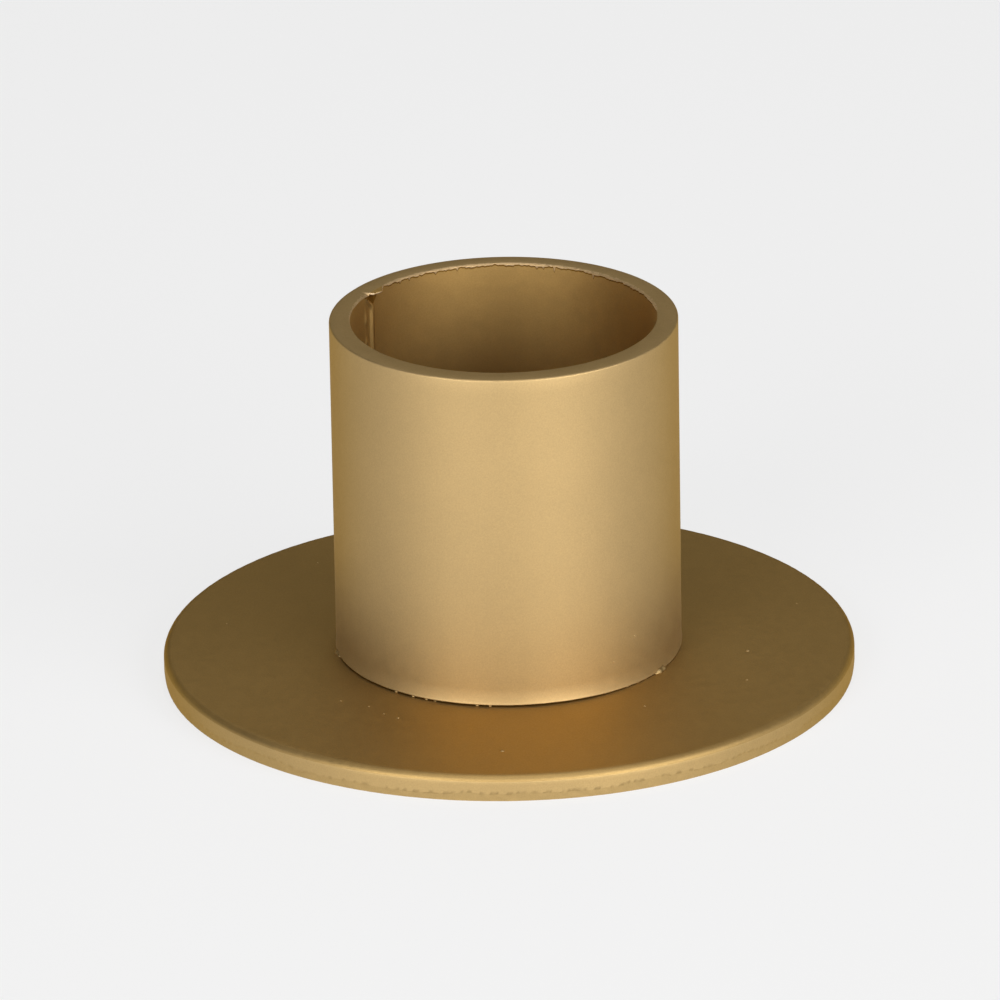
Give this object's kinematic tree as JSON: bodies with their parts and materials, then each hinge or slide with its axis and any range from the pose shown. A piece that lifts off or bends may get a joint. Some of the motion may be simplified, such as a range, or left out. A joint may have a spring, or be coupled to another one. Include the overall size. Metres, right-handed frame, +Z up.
{
  "type": "candle ring",
  "caption": "Short round metal tube on a flat round disc, a socket that holds a dinner candle upright, painted satin gold.",
  "frame": {"origin": "centre of the disc's underside, on the surface it stands on", "axes": "+Z up along the tube's axis, out of its mouth; +X to the right in the picture's view; the picture is taken from -Y"},
  "size_m": [0.05, 0.05, 0.0269],
  "materials": {
    "gold_paint_disc": "satin metallic gold paint on blanked steel",
    "gold_paint_tube": "satin metallic gold paint on steel tube",
    "gold_paint_weld": "satin metallic gold paint over a rough weld bead",
    "gold_paint_tack": "satin metallic gold paint over small weld tacks"
  },
  "bodies": {
    "root": {"base_disc": "gold_paint_disc", "candle_tube": "gold_paint_tube", "seam_weld": "gold_paint_weld", "foot_tack_1": "gold_paint_tack", "foot_tack_2": "gold_paint_tack", "foot_tack_3": "gold_paint_tack"}
  },
  "joints": []
}
